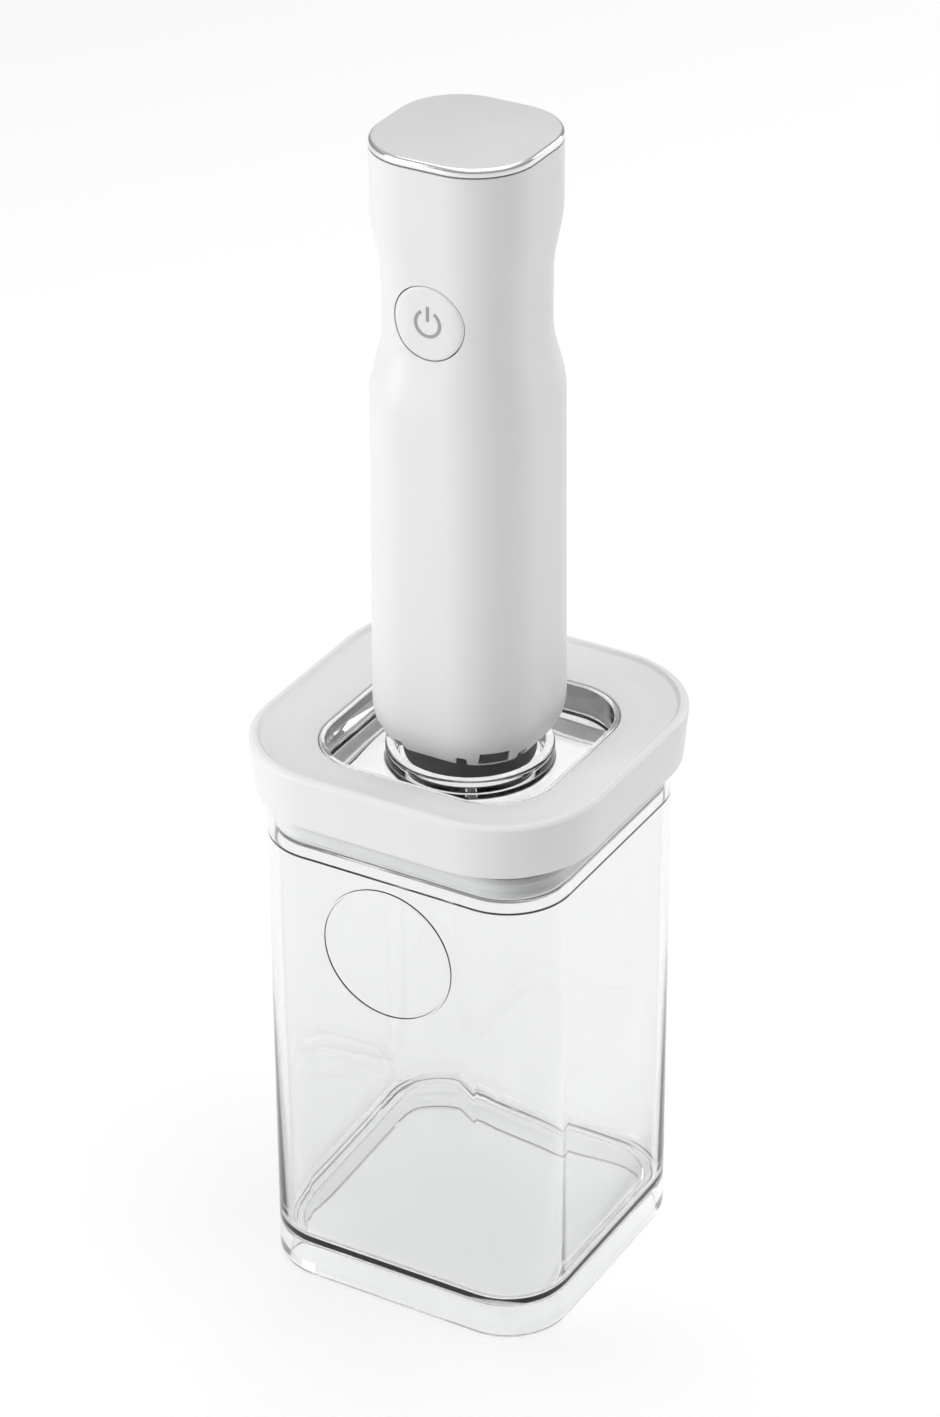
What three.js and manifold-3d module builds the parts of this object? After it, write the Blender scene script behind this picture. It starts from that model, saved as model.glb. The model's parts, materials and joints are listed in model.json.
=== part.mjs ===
// Handheld vacuum pump docked on the lid of a clear, square vacuum storage box.
// Millimetres, +Z up. The origin is the centre of the box's underside; the pump's button faces -Y.
import * as THREE from 'three';
import { mergeVertices } from 'three/addons/utils/BufferGeometryUtils.js';
import Module from 'manifold-3d';

const wasm = await Module();
wasm.setup();

// ---- driving dimensions ----
const GAP = 0.3; // clearance between neighbouring pieces

const BOX = { half: 48.3, corner: 20, wall: 3, rimWall: 2, height: 168, foot: 9.5, floor: 12.5, ledge: 149 };
const RIM = { half: 50.6, corner: 28, thick: 3 }; // outward flange at the mouth of the box
const LID = { half: 55, corner: 32, top: 180.2, skirt: 163.1, wall: 2.4, taper: 1.3 };
const WINDOW = { half: 37.2, corner: 20, top: 176, floor: 166.5, plate: 2, wall: 1.5 };
const PLUG = { half: 44, wall: 1.6, bottom: 151.6, flange: 45.4 };
const GASKET = { clearance: 0.3, lip: 0.8, height: 6.2 };
const BOSS = { outer: 24.5, inner: 21.5, top: 172, pad: 20.5, padTop: 168.2 };

const PUMP = { bottom: 177, top: 357.6, half: 25.5, wall: 1.8, roundness: 0.75 };
const WAIST = { half: 21.6, low: 284, from: 304, to: 320, high: 340, body: 25, head: 24.15 };
const CAP = { half: 24.15, bottom: 358, top: 360.4, edge: 1.2, sheet: 0.8 };
const TOP_PLUG = { skirt: 351.5, underside: 355.8, wall: 1.6 };
const BUTTON = { radius: 10.7, z: 312.5, thick: 2.4, stud: 2.6, clearance: 0.35 };
const VALVE = { cap: 7.4, stem: 1.5, barb: 2.4, bottom: 160.2, tab: 8.2 }; // release valve in the lid
const SEAL = { bottom: 168.5, top: 182.3, outer: 19.4, lip: 18.9, inner: 15.5 };
const CARRIER = { bottom: 182.6, top: 185, radius: 19.6, nozzle: 174, spigot: 191, bore: 1.4 };
const FILTER = { radius: 4.1, bottom: 175, top: 175.8 };
const HEAD = { radius: 13.5, bottom: 192, bolts: 11.6, chambers: 6.6 }; // diaphragm pump head
const DRIVE = { bottom: 203.6, top: 222, roof: 1.6, bore: 10.9 };
const CRANK = { radius: 6.5, bottom: 213.4, height: 5, pin: 0.8, pinOffset: 0.75, pinTilt: 0.24 };
const MOTOR = { radius: 12.2, bottom: 222.4, length: 30.8, shaft: 1, screws: 8, wall: 1 };
const SHAFT = { bottom: 214.8, top: 231 };
const FRAME = { bottom: 188, top: 350, shelf: 262, roof: 335.5, railX: 16.2, foot: 17.6 };
const CELL = { radius: 9.2, length: 65, bottom: 266, y: 5.5 };
const BOARD = { width: 22, height: 62, thick: 1.2, y: -11.5, bottom: 276, screwX: 9, screwUp: 3.5 };
const SWITCH = { width: 6, depth: 3.2, plunger: -16.3, radius: 1.6 }; // plunger is the Y of its middle
const SOCKET = { width: 8.94, height: 3.2, depth: 7.3, wall: 0.35, z: 344 };

// ---- finishes ----
function finish(color, roughness, metalness = 0) {
  return new THREE.MeshStandardMaterial({ color, roughness, metalness });
}

const WHITE = finish(0xeeeeec, 0.42);
const SATIN = finish(0xd6d6d6, 0.3, 0.9);
const GREY_RUBBER = finish(0x57585a, 0.7);
const MILKY = finish(0xdfe1e0, 0.55);
const CLEAR = finish(0xf2f4f4, 0.08);
CLEAR.transparent = true;
CLEAR.opacity = 0.35;
const FRAME_GREY = finish(0xb9bbbd, 0.6);
const STEEL = finish(0xb5b7ba, 0.3, 1);
const BRASS = finish(0xb99a55, 0.35, 1);
const DARK = finish(0x2f3133, 0.5);
const GREEN = finish(0x1f5b3c, 0.5);
const CELL_WRAP = finish(0x3d6f9e, 0.45);
const RED = finish(0xb02a26, 0.5);

const scene = new THREE.Group();
const vacuumPump = new THREE.Group();
scene.add(vacuumPump);

function place(parent, name, geometry, material) {
  const mesh = new THREE.Mesh(geometry, material);
  mesh.name = name;
  parent.add(mesh);
  return mesh;
}

// ---- solids ----
function solid(geometry) {
  const bare = geometry.clone();
  bare.deleteAttribute('normal');
  bare.deleteAttribute('uv');
  const merged = mergeVertices(bare);
  return new wasm.Manifold(new wasm.Mesh({
    numProp: 3,
    vertProperties: new Float32Array(merged.attributes.position.array),
    triVerts: new Uint32Array(merged.index.array),
  }));
}

function geometryOf(body) {
  const mesh = body.getMesh();
  const geometry = new THREE.BufferGeometry();
  geometry.setAttribute('position', new THREE.BufferAttribute(mesh.vertProperties, 3));
  geometry.setIndex(new THREE.BufferAttribute(mesh.triVerts, 1));
  return geometry;
}

const join = (...geometries) => geometryOf(geometries.map(solid).reduce((a, b) => a.add(b)));
const cut = (geometry, ...tools) => (
  geometryOf(tools.map(solid).reduce((a, b) => a.subtract(b), solid(geometry)))
);
const overlap = (a, b) => geometryOf(solid(a).intersect(solid(b)));

function box(width, depth, height, x, y, z) {
  return new THREE.BoxGeometry(width, depth, height).translate(x, y, z);
}

// Round solid about +Z from (radius, height) pairs.
function turned(profile, segments = 24) {
  const points = profile.map(([radius, height]) => new THREE.Vector2(radius, height));
  return new THREE.LatheGeometry(points, segments).rotateX(Math.PI / 2);
}

// Closed ring about +Z: the profile is joined back to its first point.
const ring = (profile, segments) => turned([...profile, profile[0]], segments);

function rod(radius, bottom, top, x = 0, y = 0, segments = 16) {
  return turned([[0, bottom], [radius, bottom], [radius, top], [0, top]], segments).translate(x, y, 0);
}

function tube(outer, inner, bottom, top, segments = 24) {
  return ring([[inner, bottom], [outer, bottom], [outer, top], [inner, top]], segments);
}

function disc(radius, length, x, y, z, segments = 28) {
  return new THREE.CylinderGeometry(radius, radius, length, segments).translate(x, y, z);
}

// Rounded-square solid about +Z. The profile gives (half width, height) pairs and cornerOf the corner radius
// at a half width. Every turned point moves on to the rounded square, four straight sides between four arcs.
const CORNER_STEPS = 5;
function squared(profile, cornerOf, closed = true) {
  const perSide = CORNER_STEPS + 1;
  const loop = closed ? [...profile, profile[0]] : profile;
  const geometry = turned(loop, 4 * perSide);
  const position = geometry.attributes.position;
  for (let i = 0; i < position.count; i += 1) {
    const half = Math.hypot(position.getX(i), position.getY(i));
    if (half < 1e-6) continue;
    const turn = Math.atan2(position.getY(i), position.getX(i)) / (2 * Math.PI);
    const step = Math.round((turn + 1) * 4 * perSide) % (4 * perSide);
    const side = Math.floor(step / perSide);
    const angle = (side + (step % perSide) / CORNER_STEPS) * Math.PI / 2;
    const corner = cornerOf(half);
    const straight = half - corner;
    const signX = side === 0 || side === 3 ? 1 : -1;
    const signY = side < 2 ? 1 : -1;
    const x = signX * straight + corner * Math.cos(angle);
    const y = signY * straight + corner * Math.sin(angle);
    position.setXY(i, x, y);
  }
  return geometry;
}

// Corner radius that keeps a wall of even thickness around a reference outline.
const parallelTo = ({ half, corner }) => (width) => Math.max(corner + width - half, Math.min(width, 1));
const pumpCorner = (width) => PUMP.roundness * width;

// ---- storage box ----
function storageBox() {
  const inner = BOX.half - BOX.wall;
  const mouth = BOX.half - BOX.rimWall;
  const profile = [
    [0, BOX.foot], [41, BOX.foot], [42.6, 8], [43.2, 0.8], [44, 0], [46, 0], [47.6, 0.9], [BOX.half, 3],
    [BOX.half, BOX.height - RIM.thick], [RIM.half, BOX.height - RIM.thick + 0.4], [RIM.half, BOX.height],
    [mouth, BOX.height], [mouth, BOX.ledge], [inner, BOX.ledge - 1], [inner, BOX.floor + 3],
    [inner - 0.9, BOX.floor + 0.9], [inner - 3, BOX.floor], [0, BOX.floor],
  ];
  const halfway = (BOX.half + RIM.half) / 2;
  const cornerOf = (half) => (half > halfway ? RIM.corner : parallelTo(BOX)(half));
  return squared(profile, cornerOf, false);
}

// ---- lid ----
function lidFrame() {
  const inside = WINDOW.half;
  const profile = [
    [LID.half - LID.taper, LID.skirt], [LID.half, LID.top - 1.6], [LID.half - 0.4, LID.top - 0.4],
    [LID.half - 1.2, LID.top], [LID.half - 2.1, LID.top - 0.1], [LID.half - 3.1, LID.top - 0.9],
    [inside + 8, LID.top - 2.8], [inside + 1, WINDOW.top + 0.3], [inside, WINDOW.top - 0.3],
    [inside, WINDOW.floor + 0.1], [inside + 2, WINDOW.floor + 0.1], [inside + 2, WINDOW.top - 2.6],
    [LID.half - LID.wall - 1, WINDOW.top], [LID.half - LID.wall - LID.taper, LID.skirt],
  ];
  const widening = (LID.corner - WINDOW.corner) / (LID.half - inside);
  return squared(profile, (half) => WINDOW.corner + widening * (half - inside));
}

function lidWindow() {
  const wallOut = WINDOW.half - GAP;
  const wallIn = wallOut - WINDOW.wall;
  const under = WINDOW.floor - WINDOW.plate;
  const profile = [
    [0, under], [PLUG.half - PLUG.wall - 1, under], [PLUG.half - PLUG.wall, under - 1],
    [PLUG.half - PLUG.wall, PLUG.bottom], [PLUG.flange, PLUG.bottom], [PLUG.flange, PLUG.bottom + 1.2],
    [PLUG.half, PLUG.bottom + 1.2], [PLUG.half, WINDOW.floor - 0.5], [wallOut, WINDOW.floor - 0.5],
    [wallOut, WINDOW.top], [wallIn, WINDOW.top], [wallIn, WINDOW.floor + 1], [wallIn - 1, WINDOW.floor],
    [0, WINDOW.floor],
  ];
  const cornerOf = (half) => parallelTo(half > WINDOW.half ? BOX : WINDOW)(half);
  const tray = squared(profile, cornerOf, false);
  const boss = ring([
    [BOSS.inner, WINDOW.floor - 1], [BOSS.outer, WINDOW.floor - 1], [BOSS.outer, BOSS.top - 1],
    [BOSS.outer - 1, BOSS.top], [BOSS.inner + 0.6, BOSS.top], [BOSS.inner, BOSS.top - 0.6],
  ], 24);
  const pad = rod(BOSS.pad, WINDOW.floor - 1, BOSS.padTop, 0, 0, 24);
  const stemHole = rod(VALVE.stem + 0.4, under - 1, BOSS.padTop + 1);
  const airHoles = [0, 1, 2, 3].map((i) => {
    const angle = (i + 0.5) * Math.PI / 2;
    return rod(0.9, under - 1, BOSS.padTop + 1, 4.6 * Math.cos(angle), 4.6 * Math.sin(angle), 10);
  });
  return cut(join(tray, boss, pad), stemHole, ...airHoles);
}

function lidGasket() {
  const inside = PLUG.half + GAP;
  const lip = BOX.half - BOX.rimWall - GASKET.clearance;
  const low = PLUG.bottom + 1.2 + GAP;
  const root = lip - GASKET.lip;
  const high = low + GASKET.height;
  const profile = [
    [inside, low], [root, low], [lip, low + 1.4], [root, low + 2.4], [root, high - 2.2],
    [lip, high - 1.2], [root, high], [inside, high],
  ];
  return squared(profile, parallelTo(BOX));
}

// Mushroom check valve: the cap closes the air holes and its tab is lifted to let the air back in.
function lidValve() {
  const low = BOSS.padTop + GAP;
  const tip = VALVE.bottom;
  const mushroom = turned([
    [0, tip], [VALVE.barb - 1, tip + 0.2], [VALVE.barb, tip + 1.2], [VALVE.stem, tip + 2.6],
    [VALVE.stem, low], [VALVE.cap, low], [VALVE.cap, low + 0.5], [VALVE.cap - 1.4, low + 1.2],
    [0, low + 1.5],
  ], 24);
  const tab = new THREE.ExtrudeGeometry(new THREE.Shape().absarc(0, 0, 2.4, 0, 2 * Math.PI), {
    depth: 0.9, bevelEnabled: false, curveSegments: 9,
  });
  return join(mushroom, tab.translate(VALVE.tab, 0, low + 0.1));
}

// ---- pump casing ----
function eased(from, to, share) {
  return from + (to - from) * share * share * (3 - 2 * share);
}

// Half width of the pump's outside at a height: tucked in at the foot and drawn in at the finger waist.
const TUCK = { depth: 3.6, height: 12, power: 2.6 };
function pumpHalf(z) {
  const tuckEnd = PUMP.bottom + TUCK.height;
  if (z < tuckEnd) return PUMP.half - TUCK.depth * ((tuckEnd - z) / TUCK.height) ** TUCK.power;
  if (z < WAIST.low) {
    return PUMP.half + (WAIST.body - PUMP.half) * (z - tuckEnd) / (WAIST.low - tuckEnd);
  }
  if (z < WAIST.from) return eased(WAIST.body, WAIST.half, (z - WAIST.low) / (WAIST.from - WAIST.low));
  if (z < WAIST.to) return WAIST.half;
  if (z < WAIST.high) return eased(WAIST.half, WAIST.head, (z - WAIST.to) / (WAIST.high - WAIST.to));
  return WAIST.head;
}

function pumpHeights() {
  const even = (from, to, steps) => Array.from({ length: steps }, (_, i) => from + (to - from) * i / steps);
  return [
    ...even(PUMP.bottom, PUMP.bottom + TUCK.height, 3), ...even(PUMP.bottom + TUCK.height, WAIST.low, 1),
    ...even(WAIST.low, WAIST.from, 4), ...even(WAIST.from, WAIST.to, 1), ...even(WAIST.to, WAIST.high, 4),
    WAIST.high, PUMP.top,
  ];
}

function pumpOutside(offset) {
  return pumpHeights().map((z) => [pumpHalf(z) - offset, z]);
}

function housingShell() {
  const outside = pumpOutside(0);
  const inside = pumpOutside(PUMP.wall).reverse();
  const shell = squared([...outside, ...inside], pumpCorner);
  const hole = disc(BUTTON.radius + BUTTON.clearance, 12, 0, -WAIST.half, BUTTON.z, 28);
  const socketSlot = box(SOCKET.width + 1, 8, SOCKET.height + 1, 0, WAIST.head, SOCKET.z);
  const cornerWindows = [1, 3, 5, 7].map((eighth) => (
    box(8, 8.8, 4.4, 25, 0, PUMP.bottom + 3.4).rotateZ(eighth * Math.PI / 4)
  ));
  const vents = [0, 1, 2, 3].flatMap((side) => [-1, 1].map((way) => (
    box(8, 3.2, 7, 22, 0, PUMP.bottom).rotateZ(side * Math.PI / 2 + way * 0.42)
  )));
  return cut(shell, hole, socketSlot, ...cornerWindows, ...vents);
}

// The button's face follows the casing; a flange inside the wall keeps it from falling out.
function powerButton() {
  const outside = squared([[0, PUMP.bottom], ...pumpOutside(0), [0, PUMP.top]], pumpCorner, false);
  const back = BUTTON.thick + 1.8 - WAIST.half;
  const plate = disc(BUTTON.radius, 20, 0, back - 10, BUTTON.z, 28);
  const hollow = disc(BUTTON.radius - 1.4, 4, 0, BUTTON.thick - WAIST.half + 2, BUTTON.z, 24);
  const flange = cut(disc(BUTTON.radius + 1.1, 0.6, 0, back + 0.2, BUTTON.z, 28), hollow);
  const stud = disc(1.8, BUTTON.stud, 0, BUTTON.thick - WAIST.half + BUTTON.stud / 2 - 0.4, BUTTON.z, 16);
  return join(cut(overlap(outside, plate), hollow), flange, stud);
}

function metalCap() {
  const inner = CAP.half - CAP.sheet;
  const rounded = [0, 1, 2, 3].map((i) => {
    const angle = i * Math.PI / 6;
    const out = CAP.edge * (1 - Math.cos(angle));
    const down = CAP.edge * (1 - Math.sin(angle));
    return [CAP.half - out, CAP.top - down];
  });
  const profile = [
    [0, CAP.top - CAP.sheet], [inner - 1, CAP.top - CAP.sheet], [inner, CAP.top - CAP.sheet - 1],
    [inner, CAP.bottom], [CAP.half, CAP.bottom], ...rounded, [0, CAP.top],
  ];
  return squared(profile, pumpCorner, false);
}

function topPlug() {
  const flange = CAP.half - CAP.sheet - GAP;
  const body = CAP.half - PUMP.wall - GAP;
  const hollow = body - TOP_PLUG.wall;
  const high = CAP.top - CAP.sheet - GAP;
  const profile = [
    [0, TOP_PLUG.underside], [hollow, TOP_PLUG.underside], [hollow, TOP_PLUG.skirt], [body, TOP_PLUG.skirt],
    [body, CAP.bottom], [flange, CAP.bottom], [flange, high - 0.6], [flange - 0.6, high], [0, high],
  ];
  return squared(profile, pumpCorner, false);
}

// ---- suction end ----
function suctionSeal() {
  const lip = ring([
    [SEAL.lip - 2.2, SEAL.bottom], [SEAL.lip, SEAL.bottom], [SEAL.outer, SEAL.bottom + 1.6],
    [SEAL.lip, SEAL.bottom + 4.4], [SEAL.outer, PUMP.bottom + 0.4], [SEAL.outer, SEAL.top],
    [SEAL.inner, SEAL.top], [SEAL.inner, SEAL.bottom + 5], [SEAL.lip - 3, SEAL.bottom + 2],
  ], 24);
  const tabs = [1, 3, 5, 7].map((eighth) => (
    box(7, 7.8, 3.6, 21.9, 0, PUMP.bottom + 3.4).rotateZ(eighth * Math.PI / 4)
  ));
  return join(lip, ...tabs);
}

// Disc that holds the seal, with the intake nozzle under it and the hose spigot above it.
function sealCarrier() {
  const { bottom, top, radius, nozzle, spigot, bore } = CARRIER;
  return ring([
    [4.4, nozzle], [6, nozzle], [6, bottom], [radius, bottom], [radius, top], [3, top], [3, spigot],
    [bore, spigot], [bore, nozzle + 6], [4.4, nozzle + 4],
  ], 20);
}

// ---- diaphragm pump ----
const HEAD_BOLTS = [0, 1, 2].map((i) => i * 2 * Math.PI / 3 + Math.PI / 6);
const around = (radius) => HEAD_BOLTS.map((angle) => [radius * Math.cos(angle), radius * Math.sin(angle)]);
const BOLT_PLACES = around(HEAD.bolts);
const CHAMBER_PLACES = around(-HEAD.chambers);

function withBoltHoles(geometry, bottom, top) {
  return cut(geometry, ...BOLT_PLACES.map(([x, y]) => rod(1.15, bottom, top, x, y, 12)));
}

function headCover() {
  const cover = ring([
    [1, HEAD.bottom], [HEAD.radius, HEAD.bottom], [HEAD.radius, HEAD.bottom + 5.6], [9, HEAD.bottom + 5.6],
    [9, HEAD.bottom + 2.4], [1, HEAD.bottom + 2.4],
  ]);
  return withBoltHoles(cover, HEAD.bottom - 1, HEAD.bottom + 7);
}

function valvePlate() {
  const low = HEAD.bottom + 5.9;
  const plate = rod(HEAD.radius, low, low + 3, 0, 0, 24);
  const ports = CHAMBER_PLACES.map(([x, y]) => rod(1, low - 1, low + 4, x, y, 12));
  return withBoltHoles(cut(plate, rod(1, low - 1, low + 4, 0, 0, 12), ...ports), low - 1, low + 4);
}

// Thin rubber disc that bends off its seat: the stem keeps it in the valve plate's middle bore.
function valveDisc(low, radius) {
  return turned([[0, low], [radius, low], [radius, low + 0.5], [0, low + 0.8]], 20);
}

function diaphragm() {
  const low = HEAD.bottom + 9.9;
  const sheet = rod(HEAD.radius, low, low + 1.4, 0, 0, 24);
  const cup = turned([[0, low + 0.7], [4, low + 0.7], [3.4, low + 4.6], [1.2, low + 6], [0, low + 6]], 18);
  const hollow = turned([[0, low - 1], [3.2, low - 1], [2.6, low + 3.8], [0, low + 3.8]], 18);
  const cups = CHAMBER_PLACES.map(([x, y]) => cup.clone().translate(x, y, 0));
  const hollows = CHAMBER_PLACES.map(([x, y]) => hollow.clone().translate(x, y, 0));
  return withBoltHoles(cut(join(sheet, ...cups), ...hollows), low - 1, low + 3);
}

function driveHousing() {
  const { bottom, top, roof, bore } = DRIVE;
  const wall = ring([
    [bore, bottom], [HEAD.radius, bottom], [HEAD.radius, top], [3.4, top], [3.4, top - roof],
    [bore, top - roof],
  ]);
  const bosses = BOLT_PLACES.map(([x, y]) => rod(1.9, bottom, top - 1, x, y, 12));
  const motorHoles = [-1, 1].map((way) => rod(1.2, top - roof - 1, top + 1, way * MOTOR.screws, 0, 12));
  return cut(withBoltHoles(join(wall, ...bosses), bottom - 1, bottom + 8), ...motorHoles);
}

function wobblePlate() {
  const low = HEAD.bottom + 16.2;
  const spider = rod(3, low, low + 2, 0, 0, 20);
  const arms = CHAMBER_PLACES.map(([x, y]) => (
    box(8.6, 3.4, 2, 4, 0, low + 1).rotateZ(Math.atan2(y, x))
  ));
  const socket = tube(3, 1.9, low + 1, low + 4, 20);
  return cut(join(spider, ...arms, socket), rod(1.9, low + 0.6, low + 5, 0, 0, 20));
}

// Wheel on the motor shaft whose leaning, off-centre pin nods the wobble plate.
function crankWheel() {
  const { radius, bottom, height, pin, pinOffset, pinTilt } = CRANK;
  const wheel = rod(radius, bottom, bottom + height, 0, 0, 20);
  const upright = new THREE.CylinderGeometry(pin, pin, 6, 12).rotateX(Math.PI / 2);
  const tilted = upright.rotateY(pinTilt).translate(pinOffset, 0, bottom - 1.4);
  return cut(join(wheel, tilted), rod(MOTOR.shaft + 0.02, bottom + 1, bottom + height + 1));
}

function screw(radius, length, headRadius, headHeight) {
  return turned([
    [0, -length], [radius, -length], [radius, 0], [headRadius, 0], [headRadius, headHeight * 0.6],
    [headRadius * 0.7, headHeight], [0, headHeight],
  ], 10);
}

// ---- motor ----
function motorCan() {
  const { radius, bottom, length, shaft, screws, wall } = MOTOR;
  const top = bottom + length;
  const magnets = top - 26;
  const can = turned([
    [0, bottom], [radius - 0.8, bottom], [radius, bottom + 0.6], [radius, top], [radius - wall, top],
    [radius - wall, magnets], [0, magnets],
  ], 36);
  const bearing = rod(3, bottom - 3.5, bottom + 0.5, 0, 0, 20);
  const bore = rod(shaft + GAP, bottom - 4, magnets + 6);
  const threads = [-1, 1].map((way) => rod(0.9, bottom - 1, bottom + 3.2, way * screws, 0, 12));
  return cut(join(can, bearing), bore, ...threads);
}

function motorEndBell() {
  const low = MOTOR.bottom + MOTOR.length + GAP;
  const bell = turned([
    [0, low], [MOTOR.radius, low], [MOTOR.radius, low + 1.4], [4, low + 1.8], [4, low + 3], [0, low + 3],
  ], 24);
  const terminals = [-1, 1].map((way) => box(1.6, 0.5, 5, way * 8.5, 0, low + 3));
  return join(bell, ...terminals);
}

// ---- inner frame, cell and electronics ----
function innerFrame() {
  const { bottom, top, railX } = FRAME;
  const screwZ = BOARD.bottom + BOARD.screwUp;
  const rails = [-1, 1].map((way) => box(1.8, 18, top - bottom, way * railX, 1, (top + bottom) / 2));
  const foot = tube(FRAME.foot, 14.2, bottom, bottom + 2.4);
  const shelf = box(2 * railX + 0.6, 18, 2, 0, 1, FRAME.shelf);
  const roof = box(2 * railX + 0.6, 18, 2, 0, 1, FRAME.roof);
  const boardPosts = [-1, 1].map((way) => box(8.5, 3.8, 6, way * (railX - 4), BOARD.y + 2.8, screwZ));
  const threads = [-1, 1].map((way) => disc(1.15, 6, way * BOARD.screwX, BOARD.y + 2, screwZ, 14));
  const wireHoles = [-1, 1].map((way) => rod(2.2, FRAME.shelf - 2, FRAME.shelf + 2, way * 11.5, CELL.y, 14));
  return cut(join(...rails, foot, shelf, roof, ...boardPosts), ...threads, ...wireHoles);
}

function batteryCell() {
  const low = CELL.bottom;
  const high = low + CELL.length;
  const can = turned([
    [0, low], [CELL.radius - 0.6, low], [CELL.radius, low + 0.6], [CELL.radius, high - 2.4],
    [CELL.radius - 0.5, high - 1.4], [3.6, high - 1.4], [3.2, high], [0, high],
  ], 24);
  return can.translate(0, CELL.y, 0);
}

// Width, height, X and height above the board's lower edge of each chip.
const BOARD_CHIPS = [[6, 6, -5, 16], [4, 4, 6, 22], [3, 5, 5, 50], [4, 3, -5, 54]];
function controlBoard() {
  const board = box(BOARD.width, BOARD.thick, BOARD.height, 0, BOARD.y, BOARD.bottom + BOARD.height / 2);
  const chips = BOARD_CHIPS.map(([width, height, x, up]) => (
    box(width, 1.4, height, x, BOARD.y - 1, BOARD.bottom + up)
  ));
  const screwZ = BOARD.bottom + BOARD.screwUp;
  const holes = [-1, 1].map((way) => disc(1.1, 5, way * BOARD.screwX, BOARD.y, screwZ, 14));
  return cut(join(board, ...chips), ...holes);
}

function switchBody() {
  const front = BOARD.y - BOARD.thick / 2 - GAP;
  const { width, depth, radius } = SWITCH;
  const body = box(width, depth, width, 0, front - depth / 2, BUTTON.z);
  return cut(body, disc(radius + GAP, 3, 0, front - depth, BUTTON.z, 16));
}

// Flat shape with round ends, drawn out along +Z.
function stadium(width, height, depth) {
  const radius = height / 2;
  const reach = width / 2 - radius;
  const shape = new THREE.Shape();
  shape.absarc(-reach, 0, radius, Math.PI / 2, 3 * Math.PI / 2);
  shape.absarc(reach, 0, radius, -Math.PI / 2, Math.PI / 2);
  return new THREE.ExtrudeGeometry(shape, { depth, bevelEnabled: false, curveSegments: 8 });
}

function chargingSocket() {
  const { width, height, depth, wall } = SOCKET;
  const back = 0.8;
  const shell = stadium(width, height, depth);
  const pocket = stadium(width - 2 * wall, height - 2 * wall, depth).translate(0, 0, back);
  const tongueDepth = depth - 1.4;
  const tongue = box(6.6, 0.7, tongueDepth, 0, 0, tongueDepth / 2 + back / 2);
  const whole = join(cut(shell, pocket), tongue);
  return whole.rotateX(-Math.PI / 2).translate(0, WAIST.head - 1 - depth, SOCKET.z);
}

// Insulated wire from a motor terminal up through the shelf and round the cell to the board.
function lead(way) {
  const points = [
    [9.4, 0.5, 259.9], [11.3, 4.4, 260.2], [11.6, 5.6, 262], [12.2, 7, 266], [12.6, -1, 274], [6, -6.4, 283],
    [5, -9.2, 289],
  ];
  const route = new THREE.CatmullRomCurve3(points.map(([x, y, z]) => new THREE.Vector3(way * x, y, z)));
  const section = new THREE.Shape().absarc(0, 0, 0.6, 0, 2 * Math.PI);
  return new THREE.ExtrudeGeometry(section, {
    extrudePath: route, steps: 12, curveSegments: 3, bevelEnabled: false,
  });
}

// ---- assembly ----
place(scene, 'storage_box', storageBox(), CLEAR);
place(scene, 'lid_frame', lidFrame(), WHITE);
place(scene, 'lid_window', lidWindow(), CLEAR);
place(scene, 'lid_gasket', lidGasket(), MILKY);
place(scene, 'lid_valve', lidValve(), MILKY);

place(vacuumPump, 'housing_shell', housingShell(), WHITE);
place(vacuumPump, 'metal_cap', metalCap(), SATIN);
place(vacuumPump, 'top_plug', topPlug(), WHITE);
place(vacuumPump, 'power_button', powerButton(), WHITE);

place(vacuumPump, 'suction_seal', suctionSeal(), GREY_RUBBER);
place(vacuumPump, 'seal_carrier', sealCarrier(), FRAME_GREY);
place(vacuumPump, 'intake_filter', rod(FILTER.radius, FILTER.bottom, FILTER.top, 0, 0, 24), MILKY);
place(vacuumPump, 'intake_hose', tube(4.6, 3 + GAP, CARRIER.top + GAP, HEAD.bottom - GAP, 20), MILKY);

place(vacuumPump, 'head_cover', headCover(), DARK);
place(vacuumPump, 'valve_plate', valvePlate(), FRAME_GREY);
place(vacuumPump, 'inlet_valve', valveDisc(HEAD.bottom + 2.7, 4), GREY_RUBBER);
place(vacuumPump, 'outlet_valve', valveDisc(HEAD.bottom + 4.2, 8), GREY_RUBBER);
place(vacuumPump, 'diaphragm', diaphragm(), GREY_RUBBER);
place(vacuumPump, 'drive_housing', driveHousing(), DARK);
place(vacuumPump, 'wobble_plate', wobblePlate(), FRAME_GREY);
place(vacuumPump, 'crank_wheel', crankWheel(), BRASS);
BOLT_PLACES.forEach(([x, y], i) => {
  const headScrew = screw(0.85, 17, 1.8, 1.2).rotateX(Math.PI);
  place(vacuumPump, `head_screw_${i + 1}`, headScrew, STEEL)
    .position.set(x, y, HEAD.bottom - GAP);
});

place(vacuumPump, 'motor_can', motorCan(), STEEL);
place(vacuumPump, 'motor_end_bell', motorEndBell(), DARK);
place(vacuumPump, 'motor_shaft', rod(MOTOR.shaft, SHAFT.bottom, SHAFT.top), STEEL);
[-1, 1].forEach((way, i) => {
  const motorScrew = screw(0.7, 4.2, 1.5, 0.8).rotateX(Math.PI);
  place(vacuumPump, `motor_screw_${i + 1}`, motorScrew, STEEL)
    .position.set(way * MOTOR.screws, 0, DRIVE.top - DRIVE.roof - GAP);
});

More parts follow.
